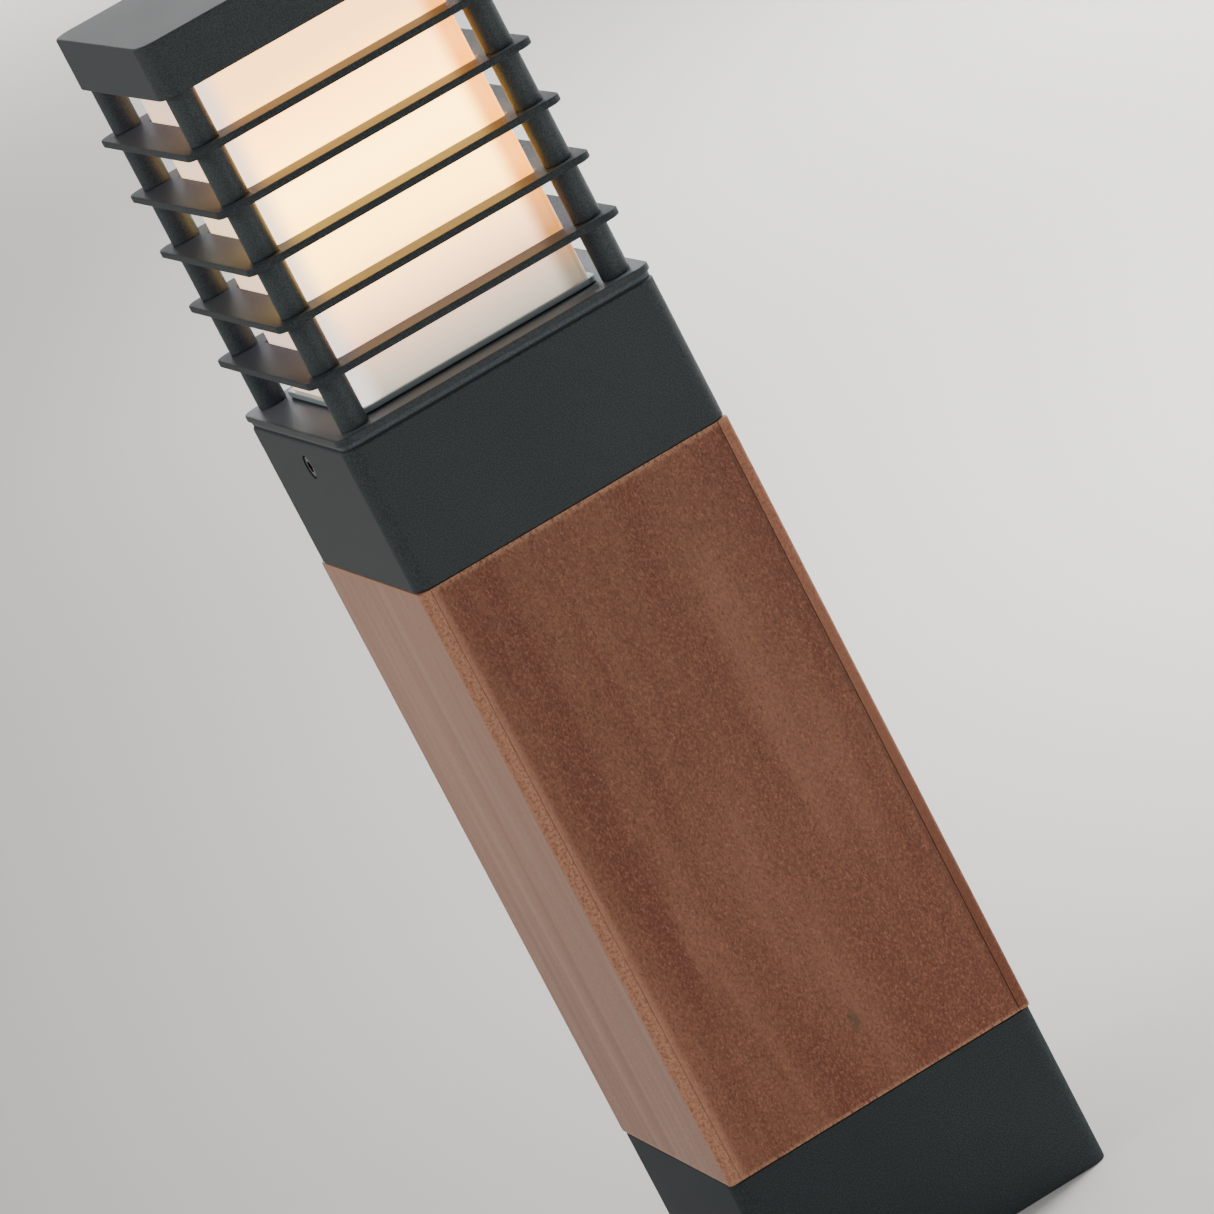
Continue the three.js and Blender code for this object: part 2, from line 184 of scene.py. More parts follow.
# painted light and shade: the head's plates and spacers are tinted by their distance from the
# diffuser, darker and bluer close to it to offset its glow, the head plate is painted lighter
# overall, and the plates and head plate are painted darker at their outer rims
def makeLightAndShadeTint(finish, kind):
    values = powderCoat[kind]
    x, y = [axis.math("ABSOLUTE") for axis in finish.axes()[:2]]
    if kind == "column":
        out = (x + y) * 0.5
    else:
        out = x.math("MAXIMUM", y).math("MAXIMUM", (x + y) * powderCoat["cornerShare"])
    lightAndShadeTint = finish.mix(out.step(*values["span"]), values["near"], values["far"])
    return finish.mix(out.step(*powderCoat["rimAt"]), lightAndShadeTint, values["rim"])


def makePowderCoat(kind):
    values = powderCoat[kind]
    finish = Finish("anthracite powder coat " + kind)
    grain = finish.noise(powderCoat["grain"], 3, 0.6)
    cloud = finish.noise(powderCoat["cloud"], 3, 0.5)
    # the part's tone offset paints light and shade
    share = grain.step(0.34, 0.66) * 0.8 + (cloud - 0.5) * 0.35 + 0.1 + values["paintedShading"]
    colour = finish.mix(share, powderCoat["dark"], powderCoat["light"])
    if "near" in values:
        colour = finish.mix(1.0, colour, makeLightAndShadeTint(finish, kind), "MULTIPLY")
    inputs = {
        "Base Color": colour,
        "Roughness": values["roughness"] + (grain - 0.5) * 0.25 + (cloud - 0.5) * 0.08,
        "Specular IOR Level": values["specular"],
        "Normal": finish.bump(grain, 0.5, powderCoat["relief"]),
    }
    return principled(finish, inputs)


hardwood = {
    "deep": (0.1664, 0.0427, 0.0200),
    "mid": (0.2152, 0.0730, 0.0368),
    "tan": (0.2971, 0.1232, 0.0632),
    "fleck": (0.5006, 0.2077, 0.1056),
    "pore": (0.0870, 0.0295, 0.0147),
    "worn": (0.480, 0.235, 0.130),
    "pale": (0.6080, 0.3525, 0.2491),
    "ash": (0.460, 0.330, 0.270),
    "leftLip": (0.5676, 0.2730, 0.1620),
    "rightLipTop": (0.4515, 0.1812, 0.0950),
    "rightLipFoot": (0.1584, 0.0348, 0.0084),
    "specular": 0.36,
    "relief": 0.00022,
}


# scale, detail, roughness, stretch along the board, distortion
woodNoise = {
    "bands": (30, 2, 0.5, 0.13, 1.2),
    "clouds": (34, 3, 0.6, 0.4, 0.0),
    "lines": (420, 3, 0.6, 0.04, 0.4),
    "mottle": (1150, 4, 0.7, 0.6, 0.3),
    "pores": (1900, 2, 0.5, 0.5, 0.0),
    "flecks": (1700, 2, 0.5, 0.6, 0.0),
    "streaks": (170, 3, 0.6, 0.035, 0.3),
}


def grainNoise(finish, kind, seed):
    scale, detail, roughness, along, distortion = woodNoise[kind]
    shift = (seed * 0.37, seed * 0.53, seed * 0.29)
    return finish.noise(scale, detail, roughness, finish.stretch((1, 1, along), shift), distortion)


def makeHardwood(name, seed, base, top, reach):
    finish = Finish("hardwood " + name)
    x, y, z = finish.axes()
    bands = grainNoise(finish, "bands", seed)
    clouds = grainNoise(finish, "clouds", seed)
    lines = grainNoise(finish, "lines", seed)
    mottle = grainNoise(finish, "mottle", seed)
    pores = grainNoise(finish, "pores", seed).step(0.56, 0.68)
    flecks = grainNoise(finish, "flecks", seed).step(0.55, 0.68)
    figure = bands * 0.75 + clouds * 0.25 + (lines - 0.5) * 0.10
    tone = finish.mix(figure.step(0.36, 0.50), hardwood["deep"], hardwood["mid"])
    tone = finish.mix(figure.step(0.48, 0.64), tone, hardwood["tan"])
    drips = z.step(top - 0.050, top) * bands.step(0.46, 0.56) * 0.45
    tone = finish.mix(drips, tone, hardwood["deep"])
    # painted shade: the board is painted darker towards its foot and towards its right side
    shade = z.step(base + 0.14, base) * 0.40 + x.step(-0.005, 0.050) * 0.26
    tone = finish.mix(shade, tone, hardwood["deep"])
    tone = finish.mix(mottle.step(0.40, 0.66) * 0.26 + flecks * 0.38, tone, hardwood["fleck"])
    tone = finish.mix(pores * 0.42 + mottle.step(0.50, 0.30) * 0.25, tone, hardwood["pore"])
    if name in ("left", "right"):
        tone = finishSideBoard(finish, tone, name, seed, base, top, reach)
    else:
        tone = finishPanelBoard(finish, tone, mottle, reach)
    ends = z.step(base + 0.0018, base + 0.0002) + z.step(top - 0.0026, top - 0.0006)
    tone = finish.mix(ends * mottle.step(0.36, 0.56) * 0.9, tone, hardwood["worn"])
    if name == "front":
        tone = addKnot(finish, tone, x, z)
    relief = mottle * 0.8 + lines * 0.3 - pores * 0.8 + flecks * 0.3
    inputs = {
        "Base Color": tone,
        "Roughness": 0.50 + (mottle - 0.5) * 0.3 + pores * 0.2 - bands * 0.06,
        "Specular IOR Level": hardwood["specular"],
        "Normal": finish.bump(relief, 0.4, hardwood["relief"]),
    }
    return principled(finish, inputs)


# the wide outer face gets a painted sheen: it is washed pale, paler towards the top and darker
# lower down as painted shade, with grey streaks and orange specks; the narrow lips that show on the
# front do not
def finishSideBoard(finish, tone, name, seed, base, top, reach):
    y, z = finish.axes()[1:]
    y = y.math("ABSOLUTE")
    speck = finish.noise(900, 3, 0.7)
    streaks = grainNoise(finish, "streaks", seed)
    face = y.step(reach - 0.0015, reach - 0.0035)
    # painted sheen, paler towards the top, with painted shade lower down
    paintedSheen = face * (0.42 + streaks.step(0.30, 0.70) * 0.16)
    tone = finish.mix(paintedSheen * (0.30 + z.step(base, top) * 0.78), tone, hardwood["pale"])
    tone = finish.mix(face * (0.10 + streaks.step(0.46, 0.64) * 0.16), tone, hardwood["ash"])
    tone = finish.mix(face * speck.step(0.54, 0.68) * 0.30, tone, hardwood["leftLip"])
    # painted light and shade: the left lip is painted lighter than the right one, and the right lip
    # is painted darker towards its foot
    lipTone = hardwood["leftLip"]
    if name == "right":
        lipTone = finish.mix(z.step(base, top), hardwood["rightLipFoot"], hardwood["rightLipTop"])
    lip = y.step(reach - 0.0031, reach - 0.0013)
    return finish.mix(lip * (0.15 + speck.step(0.30, 0.62) * 0.75), tone, lipTone)


def finishPanelBoard(finish, tone, mottle, reach):
    x = finish.axes()[0]
    # painted light: the panel's left edge takes the left lip's lighter tone
    edge = x.step(0.0035 - reach, -reach) * (0.25 + mottle * 0.7)
    tone = finish.mix(edge, tone, hardwood["leftLip"])
    # painted shadow: a thin dark strip along the right edge, where the panel meets the lip
    return finish.mix(x.step(reach - 0.0016, reach - 0.0006) * 0.30, tone, hardwood["pore"])


knot = {"x": 0.0036, "z": 0.0880, "core": 0.0008, "radius": 0.0042, "strength": 0.6,
        "colour": (0.085, 0.066, 0.034)}


def addKnot(finish, tone, x, z):
    across = (x - knot["x"]) * 1.5
    along = (z - knot["z"]) * 0.75
    away = (across * across + along * along) ** 0.5
    ragged = finish.noise(420, 3, 0.6)
    mark = 1 - (away + (ragged - 0.5) * 0.005).step(knot["core"], knot["radius"])
    return finish.mix(mark * knot["strength"], tone, knot["colour"])


opal = {
    "body": [
        (0.005, (0.0608, 0.0525, 0.0407)),
        (0.047, (0.086, 0.07, 0.052)),
        (0.131, (0.1736, 0.1052, 0.0670)),
        (0.223, (0.3639, 0.1966, 0.0920)),
        (0.384, (0.7332, 0.3944, 0.0800)),
        (0.553, (0.8407, 0.4708, 0.0920)),
        (0.715, (0.7011, 0.3349, 0.0760)),
        (0.86, (0.4181, 0.2018, 0.0650)),
    ],
    "rim": [
        (0.005, (0.02, 0.015, 0.01)),
        (0.047, (0.028, 0.019, 0.009)),
        (0.223, (0.1508, 0.0495, 0.0013)),
        (0.384, (0.35, 0.112, 0)),
        (0.722, (0.35, 0.109, 0)),
        (0.876, (0.2574, 0.0888, 0.0006)),
    ],
    "leftRim": (0.150, 0.136, 0.130),
    "dim": (0.110, 0.080, 0.062),
    "half": 0.044,
    "frontSpan": (0.0040, 0.0015),
    "rightSpan": (0.0120, 0.0050),
    "leftSpan": (0.010, 0.001),
    "flankSpan": (0.0012, 0.0002),
    "fade": (-0.042, 0.010),
    "glow": 12.0,
}


def makeOpal(low, high):
    finish = Finish("opal diffuser")
    x, y, z = finish.axes()
    half = opal["half"]
    haze = finish.noise(30, 2, 0.5)
    level = (z - low.z) / (high.z - low.z) + (haze - 0.5) * 0.03
    front = y.step(*[span - half for span in opal["frontSpan"]])
    right = x.step(*[half - span for span in opal["rightSpan"]])
    left = x.step(*[span - half for span in opal["leftSpan"]])
    flank = x.math("ABSOLUTE").step(*[half - span for span in opal["flankSpan"]])
    # painted light: the diffuser's glow stands in for the bulb's light through the opal; it is
    # brightest in the upper middle, orange along the front right rim, pale grey along the front
    # left rim, and dimmed on the side faces towards the back
    colour = finish.ramp(level, opal["body"])
    colour = finish.mix(right * front, colour, finish.ramp(level, opal["rim"]))
    colour = finish.mix(left * front * 0.85, colour, opal["leftRim"])
    colour = finish.mix(flank * y.step(*opal["fade"]) * 0.92, colour, opal["dim"])
    plain = finish.mix(haze * 0.3, (0.50, 0.47, 0.43), (0.44, 0.41, 0.37))
    inputs = {
        "Base Color": plain,
        "Roughness": 0.32 + haze * 0.06,
        "Emission Color": colour,
        "Emission Strength": opal["glow"],
        "Normal": finish.bump(haze, 0.05, 0.0005),
    }
    return principled(finish, inputs)


def makeTwoTone(name, dark, light, roughness, metallic=0.0, scale=(1, 1, 1), grain=600,
                relief=0.15, extra=None):
    finish = Finish(name)
    speck = finish.noise(grain, 3, 0.6, finish.stretch(scale))
    cloud = finish.noise(35, 2, 0.5)
    colour = finish.mix(cloud * 0.5 + speck * 0.5, dark, light)
    inputs = {
        "Base Color": colour,
        "Metallic": metallic,
        "Roughness": roughness + (speck - 0.5) * 0.2 + (cloud - 0.5) * 0.08,
        "Normal": finish.bump(speck, relief, 0.0001),
    }
    inputs.update(extra or {})
    return principled(finish, inputs)


paint = makePowderCoat("casting")
footPaint = makePowderCoat("foot")
platePaint = makePowderCoat("plate")
columnPaint = makePowderCoat("column")
headPaint = makePowderCoat("headPlate")
capPaint = makePowderCoat("cap")
rubber = makeTwoTone("black seal rubber", (0.012, 0.012, 0.013), (0.028, 0.028, 0.03), 0.75,
                     grain=900)
steel = makeTwoTone("turned stainless", (0.50, 0.50, 0.50), (0.68, 0.68, 0.67), 0.24, 1.0,
                    grain=700, relief=0.08)
aluminium = makeTwoTone("mill aluminium", (0.48, 0.49, 0.50), (0.62, 0.63, 0.64), 0.38, 1.0,
                        (1, 1, 0.05), 900)
zinc = makeTwoTone("zinc plated steel", (0.36, 0.38, 0.40), (0.52, 0.53, 0.52), 0.36, 1.0,
                   grain=260)
porcelain = makeTwoTone("glazed porcelain", (0.74, 0.73, 0.69), (0.82, 0.81, 0.78), 0.14,
                        grain=120, relief=0.04)
nylon = makeTwoTone("moulded nylon", (0.020, 0.021, 0.023), (0.036, 0.038, 0.040), 0.55,
                    grain=1300)
sheath = makeTwoTone("cable sheath", (0.014, 0.014, 0.015), (0.030, 0.030, 0.032), 0.6,
                     scale=(1, 1, 0.2), grain=800)
bulbGlow = {"Emission Color": (1.0, 0.72, 0.44), "Emission Strength": 2.2}
bulbGlass = makeTwoTone("frosted bulb", (0.88, 0.80, 0.68), (0.95, 0.88, 0.78), 0.3,
                        grain=300, relief=0.05, extra=bulbGlow)
opalPlastic = makeOpal(*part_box("diffuser"))
opalSeat = makeTwoTone("opal seat in shade", (0.230, 0.290, 0.308), (0.330, 0.400, 0.425), 0.35,
                       grain=200)
# painted shade: the stainless side screws sit in recesses, so their steel is painted dark
shadedSocketSteel = makeTwoTone("recessed socket steel", (0.06, 0.06, 0.06), (0.17, 0.17, 0.165), 0.26,
                          1.0, grain=500)
print("finishes made")


def isUpright(edge):
    return abs(edge.verts[0].co.z - edge.verts[1].co.z) > touching


def addBlock(mesh, width, depth, radius, bottom, top, steps=10):
    made = bmesh.ops.create_cube(mesh, size=1.0)["verts"]
    bmesh.ops.scale(mesh, vec=(width, depth, top - bottom), verts=made)
    bmesh.ops.translate(mesh, vec=(0, 0, (top + bottom) / 2), verts=made)
    if radius:
        edges = {edge for vert in made for edge in vert.link_edges}
        upright = [edge for edge in edges if isUpright(edge)]
        bmesh.ops.bevel(mesh, geom=upright, offset=radius, offset_type="OFFSET", segments=steps,
                        profile=0.5, affect="EDGES", material=-1)


def blockMesh(width, radius, bottom, top, steps=10):
    mesh = bmesh.new()
    addBlock(mesh, width, width, radius, bottom, top, steps)
    return mesh


def atLevel(mesh, level, beyond=0.0):
    edges = []
    for edge in mesh.edges:
        if all(abs(vert.co.z - level) < touching for vert in edge.verts):
            middle = (edge.verts[0].co + edge.verts[1].co) / 2
            if max(abs(middle.x), abs(middle.y)) >= beyond:
                edges.append(edge)
    return edges


def softenRim(mesh, level, size, steps=2, beyond=0.0):
    bmesh.ops.bevel(mesh, geom=atLevel(mesh, level, beyond), offset=size, offset_type="OFFSET",
                    segments=steps, profile=0.5, affect="EDGES", material=-1)


# sinks a pocket into the face at a level, and leaves a wall round it
def hollow(mesh, level, wall, reach):
    caps = []
    for face in mesh.faces:
        if all(abs(vert.co.z - level) < touching for vert in face.verts):
            caps.append(face)
    cap = max(caps, key=lambda face: face.calc_area())
    bmesh.ops.inset_region(mesh, faces=[cap], thickness=wall, use_even_offset=True)
    moved = bmesh.ops.extrude_face_region(mesh, geom=[cap])["geom"]
    verts = [item for item in moved if isinstance(item, bmesh.types.BMVert)]
    bmesh.ops.translate(mesh, vec=(0, 0, reach), verts=verts)
    if cap.is_valid:
        mesh.faces.remove(cap)


def roundedLoop(width, radius, steps):
    points = []
    reach = width / 2 - radius
    for corner, (sx, sy) in enumerate(((1, 1), (-1, 1), (-1, -1), (1, -1))):
        for part in range(steps + 1):
            turn = math.pi / 2 * (corner + part / steps)
            x = sx * reach + radius * math.cos(turn)
            y = sy * reach + radius * math.sin(turn)
            points.append((x, y))
    return points


def addRing(mesh, outer, inner, bottom, top, steps=10):
    rings = []
    for size, level in ((outer, bottom), (outer, top), (inner, top), (inner, bottom)):
        rings.append([mesh.verts.new((x, y, level)) for x, y in roundedLoop(*size, steps)])
    for first, second in zip(rings, rings[1:] + rings[:1]):
        for index in range(len(first)):
            mesh.faces.new((first[index - 1], first[index], second[index], second[index - 1]))
    bmesh.ops.recalc_face_normals(mesh, faces=mesh.faces)


# turns a profile of (radius, height) points about the upright axis
def addTurned(mesh, profile, steps=48):
    points = [mesh.verts.new((radius, 0, height)) for radius, height in profile]
    edges = [mesh.edges.new(pair) for pair in zip(points, points[1:])]
    bmesh.ops.spin(mesh, geom=points + edges, cent=(0, 0, 0), axis=(0, 0, 1), angle=2 * math.pi,
                   steps=steps, use_merge=True, use_duplicate=False)
    bmesh.ops.remove_doubles(mesh, verts=mesh.verts, dist=touching)
    bmesh.ops.recalc_face_normals(mesh, faces=mesh.faces)


def addRod(mesh, radius, bottom, top, x=0.0, y=0.0, steps=40, soften=0.0):
    before = set(mesh.verts)
    bmesh.ops.create_cone(mesh, cap_ends=True, segments=steps, radius1=radius, radius2=radius,
                          depth=top - bottom)
    made = [vert for vert in mesh.verts if vert not in before]
    if soften:
        rims = {edge for vert in made for edge in vert.link_edges}
        rims = [edge for edge in rims if not isUpright(edge)]
        bmesh.ops.bevel(mesh, geom=rims, offset=soften, offset_type="OFFSET", segments=2,
                        profile=0.5, affect="EDGES", material=-1)
        made = [vert for vert in mesh.verts if vert not in before]
    bmesh.ops.translate(mesh, vec=(x, y, (top + bottom) / 2), verts=made)
    return made


def makeObject(name, mesh, sharpAngle=38):
    data = bpy.data.meshes.new(name)
    mesh.to_mesh(data)
    mesh.free()
    data.shade_smooth()
    data.set_sharp_from_angle(angle=math.radians(sharpAngle))
    made = bpy.data.objects.new(name, data)
    scene.collection.objects.link(made)
    return made


def bore(target, cutters, sharpAngle=38):
    for cutter in cutters:
        cut = target.modifiers.new("bore", "BOOLEAN")
        cut.operation = "DIFFERENCE"
        cut.solver = "EXACT"
        cut.object = cutter
    scene.view_layers[0].update()
    graph = bpy.context.evaluated_depsgraph_get()
    data = bpy.data.meshes.new_from_object(target.evaluated_get(graph))
    target.modifiers.clear()
    target.data = data
    for cutter in cutters:
        bpy.data.objects.remove(cutter)
    data.shade_smooth()
    data.set_sharp_from_angle(angle=math.radians(sharpAngle))


def drill(radius, start, end, steps=40):
    mesh = bmesh.new()
    start, end = Vector(start), Vector(end)
    addRod(mesh, radius, 0, (end - start).length, steps=steps)
    turn = Vector((0, 0, 1)).rotation_difference(end - start).to_matrix().to_4x4()
    turn.translation = start
    bmesh.ops.transform(mesh, matrix=turn, verts=mesh.verts)
    return makeObject("drill", mesh)


def place(piece, finish, body, nodes, slot):
    piece.data.materials.clear()
    piece.data.materials.append(finish)
    even = piece.modifiers.new("even shading", "WEIGHTED_NORMAL")
    even.keep_sharp = True
    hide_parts(*nodes)
    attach(piece, body)
    return piece


casting = {"radius": 6 * mm, "footWall": 3.5 * mm, "collarWall": 3.8 * mm, "web": 4 * mm,
           "edge": 0.5 * mm, "collarChamfer": 0.9 * mm, "wireHole": 12 * mm, "wireAt": -22 * mm,
           "wireReach": 10 * mm}
sideBore = {"radius": 4.5 * mm, "depth": 1.8 * mm, "hole": 2.8 * mm, "holeDepth": 6 * mm,
            "outside": 2 * mm}


def sideDrills(face, height):
    drills = []
    for side in (-1, 1):
        outside = (side * (face + sideBore["outside"]), 0, height)
        seat = (side * (face - sideBore["depth"]), 0, height)
        bottom = (side * (face - sideBore["holeDepth"]), 0, height)
        drills.append(drill(sideBore["radius"], seat, outside))
        drills.append(drill(sideBore["hole"], bottom, outside, 24))
    return drills


def wireDrill(level):
    at, reach = casting["wireAt"], casting["wireReach"]
    return drill(casting["wireHole"], (at, 0, level - reach), (at, 0, level + reach), 32)


def makeFoot():
    low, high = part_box("foot_casting")
    screwLow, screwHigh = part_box("foot_screw_left")
    mesh = blockMesh(high.x - low.x, casting["radius"], low.z, high.z)
    softenRim(mesh, high.z, casting["edge"])
    softenRim(mesh, low.z, casting["edge"])
    hollow(mesh, low.z, casting["footWall"] - casting["edge"], high.z - low.z - casting["web"])
    foot = makeObject("foot_casting_shell", mesh)
    drills = sideDrills(high.x, (screwLow.z + screwHigh.z) / 2)
    bore(foot, drills + [wireDrill(high.z)])
    place(foot, footPaint, "pillar", ["foot_casting"], "anthracite_paint")


def makeCollar():
    low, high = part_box("collar_casting")
    screwLow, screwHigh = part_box("clamp_screw_left")
    mesh = blockMesh(high.x - low.x, casting["radius"], low.z, high.z)
    softenRim(mesh, high.z, casting["collarChamfer"], 3)
    softenRim(mesh, low.z, casting["edge"])
    wall = casting["collarWall"] - casting["collarChamfer"]
    hollow(mesh, high.z, wall, -(high.z - low.z - casting["web"]))
    collar = makeObject("collar_casting_shell", mesh)
    drills = sideDrills(high.x, (screwLow.z + screwHigh.z) / 2)
    bore(collar, drills + [wireDrill(low.z)])
    place(collar, paint, "pillar", ["collar_casting"], "anthracite_paint")


sideScrew = {"tip": 2.1 * mm, "tipLength": 0.4 * mm, "shank": 2.5 * mm, "seatGap": 0.05 * mm,
             "edgeStart": 0.65, "edge": 0.35 * mm, "socket": 4 * mm / math.sqrt(3),
             "socketDepth": 1.1 * mm}


def makeSideScrew(node, body):
    low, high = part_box(node)
    side = 1 if high.x > 0 else -1
    tip = min(abs(low.x), abs(high.x))
    end = max(abs(low.x), abs(high.x))
    seat = (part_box("foot_casting")[1].x - sideBore["depth"]) + sideScrew["seatGap"]
    head = end - seat
    radius = (high.z - low.z) / 2
    shank = sideScrew["shank"]
    mesh = bmesh.new()
    addTurned(mesh, [(0, tip), (sideScrew["tip"], tip), (shank, tip + sideScrew["tipLength"]),
                     (shank, seat), (radius, seat), (radius, seat + head * sideScrew["edgeStart"]),
                     (radius - sideScrew["edge"], seat + head), (0, seat + head)])
    screw = makeObject(node + "_turned", mesh)
    bottom = (0, 0, seat + head - sideScrew["socketDepth"])
    socket = drill(sideScrew["socket"], bottom, (0, 0, seat + head + 0.001), 6)
    bore(screw, [socket])
    lay = Matrix.Rotation(math.pi / 2, 4, "Y")
    if side < 0:
        lay = Matrix.Rotation(math.pi, 4, "Z") @ lay
    screw.data.transform(Matrix.Translation((0, 0, (low.z + high.z) / 2)) @ lay)
    place(screw, shadedSocketSteel, body, [node], "stainless_steel")


makeFoot()
makeCollar()
makeSideScrew("foot_screw_left", "pillar")
makeSideScrew("foot_screw_right", "pillar")
makeSideScrew("clamp_screw_left", "clamp_left")
makeSideScrew("clamp_screw_right", "clamp_right")
print("foot and collar made")


timber = {"lip": 4.2 * mm, "corner": 1.9 * mm, "arris": 0.06 * mm, "panelArris": 0.06 * mm,
          "end": 0.3 * mm, "shelfGap": 0.1 * mm,
          "close": 0.148 * mm}  # a panel board grows by this each side, so its joints look thin


def makeSideBoard(node, side):
    low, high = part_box(node)
    outer = max(abs(low.x), abs(high.x))
    inner = min(abs(low.x), abs(high.x))
    reach = high.y
    shelf = reach - (high.x - low.x) - timber["shelfGap"]
    step = outer - timber["lip"]
    corners = [(inner, -shelf), (step, -shelf), (step, -reach), (outer, -reach),
               (outer, reach), (step, reach), (step, shelf), (inner, shelf)]
    mesh = bmesh.new()
    verts = [mesh.verts.new((side * x, y, low.z)) for x, y in corners]
    base = mesh.faces.new(verts)
    moved = bmesh.ops.extrude_face_region(mesh, geom=[base])["geom"]
    raised = [item for item in moved if isinstance(item, bmesh.types.BMVert)]
    bmesh.ops.translate(mesh, vec=(0, 0, high.z - low.z), verts=raised)
    bmesh.ops.recalc_face_normals(mesh, faces=mesh.faces)
    upright = [edge for edge in mesh.edges if isUpright(edge)]
    rounded = [edge for edge in upright if abs(edge.verts[0].co.x) > outer - touching]
    inward = [edge for edge in upright if edge not in rounded]
    lips = [edge for edge in inward if abs(abs(edge.verts[0].co.y) - reach) < touching]
    for edges, size, steps in ((rounded, timber["corner"], 7), (lips, timber["arris"], 2)):
        bmesh.ops.bevel(mesh, geom=edges, offset=size, offset_type="OFFSET", segments=steps,
                        profile=0.5, affect="EDGES", material=-1)
    softenRim(mesh, low.z, timber["end"])
    softenRim(mesh, high.z, timber["end"])
    wood = makeHardwood(node.split("_")[-1], 3 + side, low.z, high.z, reach)
    place(makeObject(node + "_planed", mesh), wood, "pillar", [node], "oiled_hardwood")


def makePanelBoard(node, seed):
    low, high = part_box(node)
    mesh = bmesh.new()
    addBlock(mesh, high.x - low.x + 2 * timber["close"], high.y - low.y, 0, low.z, high.z)
    bmesh.ops.translate(mesh, vec=(0, (low.y + high.y) / 2, 0), verts=mesh.verts)
    bmesh.ops.bevel(mesh, geom=list(mesh.edges), offset=timber["panelArris"], offset_type="OFFSET",
                    segments=3, profile=0.5, affect="EDGES", material=-1)
    wood = makeHardwood(node.split("_")[-1], seed, low.z, high.z, high.x)
    place(makeObject(node + "_planed", mesh), wood, "pillar", [node], "oiled_hardwood")


makeSideBoard("timber_board_left", -1)
makeSideBoard("timber_board_right", 1)
makePanelBoard("timber_board_front", 7)
makePanelBoard("timber_board_back", 11)
print("timber sleeve made")


louvre = {"radius": 5 * mm, "opening": 90 * mm, "openingRadius": 3.5 * mm, "edge": 0.45 * mm}
headPlate = {"radius": 5.5 * mm, "stepInset": 1 * mm, "stepRadius": 4.5 * mm, "mouth": 81 * mm,
             "mouthRadius": 3 * mm, "lipThickness": 2.5 * mm, "stepHeight": 1.5 * mm,
             "edge": 0.4 * mm}
skirtShape = {"half": 55.3 * mm, "wall": 3 * mm, "radius": 2 * mm, "innerRadius": 1 * mm,
              "edge": 0.5 * mm, "relief": 5.3 * mm}
column = {"offset": 50.5 * mm, "soften": 0.45 * mm, "coated": 1.02}  # the coating adds 2 %
cornersOfHead = {"front_left": (-1, -1), "front_right": (1, -1), "back_right": (1, 1),
                 "back_left": (-1, 1)}


def makeLouvre(node):
    low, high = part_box(node)
    mesh = bmesh.new()
    outer = (high.x - low.x, louvre["radius"])
    addRing(mesh, outer, (louvre["opening"], louvre["openingRadius"]), low.z, high.z)
    beyond = high.x - louvre["radius"]
    for level in (low.z, high.z):
        softenRim(mesh, level, louvre["edge"], 3, beyond)
    place(makeObject(node + "_plate", mesh), platePaint, "head", [node], "anthracite_paint")


def makeHeadPlate():
    low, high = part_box("head_plate")
    width = high.x - low.x
    lipBottom = high.z - headPlate["lipThickness"]
    stepBottom = lipBottom - headPlate["stepHeight"]
    mouth = (headPlate["mouth"], headPlate["mouthRadius"])
    mesh = bmesh.new()
    addRing(mesh, (width, headPlate["radius"]), mouth, lipBottom, high.z)
    beyond = width / 2 - headPlate["radius"]
    softenRim(mesh, high.z, headPlate["edge"], 2, beyond)
    softenRim(mesh, lipBottom, headPlate["edge"], 2, beyond)
    lip = makeObject("head_plate_lip", mesh)
    mesh = bmesh.new()
    stepWidth = width - 2 * headPlate["stepInset"]
    addRing(mesh, (stepWidth, headPlate["stepRadius"]), mouth, stepBottom, lipBottom)
    step = makeObject("head_plate_step", mesh)
    mesh = bmesh.new()
    half = skirtShape["half"]
    inner = (2 * (half - skirtShape["wall"]), skirtShape["innerRadius"])
    addRing(mesh, (2 * half, skirtShape["radius"]), inner, low.z, stepBottom, 4)
    softenRim(mesh, low.z, skirtShape["edge"])
    skirt = makeObject("head_plate_skirt", mesh)
    reliefs = []
    for sx, sy in cornersOfHead.values():
        at = (sx * column["offset"], sy * column["offset"])
        reliefs.append(drill(skirtShape["relief"], (*at, low.z - 0.002), (*at, stepBottom), 32))
    bore(skirt, reliefs, 15)
    for piece in (lip, step, skirt):
        place(piece, headPaint, "head", ["head_plate"], "anthracite_paint")


def makeSpacers():
    for corner in cornersOfHead:
        for level in range(1, 7):
            node = f"spacer_{corner}_{level}"
            low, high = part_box(node)
            mesh = bmesh.new()
            radius = (high.y - low.y) / 2
            addRod(mesh, radius * column["coated"], low.z, high.z,
                   (low.x + high.x) / 2, (low.y + high.y) / 2, soften=column["soften"])
            tube = makeObject(node + "_tube", mesh)
            place(tube, columnPaint, "head", [node], "anthracite_paint")


tieRod = {"radius": 2.5 * mm, "edge": 0.4 * mm, "shankStart": 1 * mm, "head": 8 * mm / math.sqrt(3),
          "headHeight": 3.5 * mm, "headEdge": 0.3 * mm}


def makeTieRods():
    for corner in cornersOfHead:
        node = f"tie_rod_{corner}"
        low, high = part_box(node)
        x, y = (low.x + high.x) / 2, (low.y + high.y) / 2
        mesh = bmesh.new()
        shankStart = low.z + tieRod["shankStart"]
        headEnd = low.z + tieRod["headHeight"]
        addRod(mesh, tieRod["radius"], shankStart, high.z, x, y, 24, tieRod["edge"])
        addRod(mesh, tieRod["head"], low.z, headEnd, x, y, 6, tieRod["headEdge"])
        place(makeObject(node + "_bolt", mesh), steel, "head", [node], "stainless_steel")


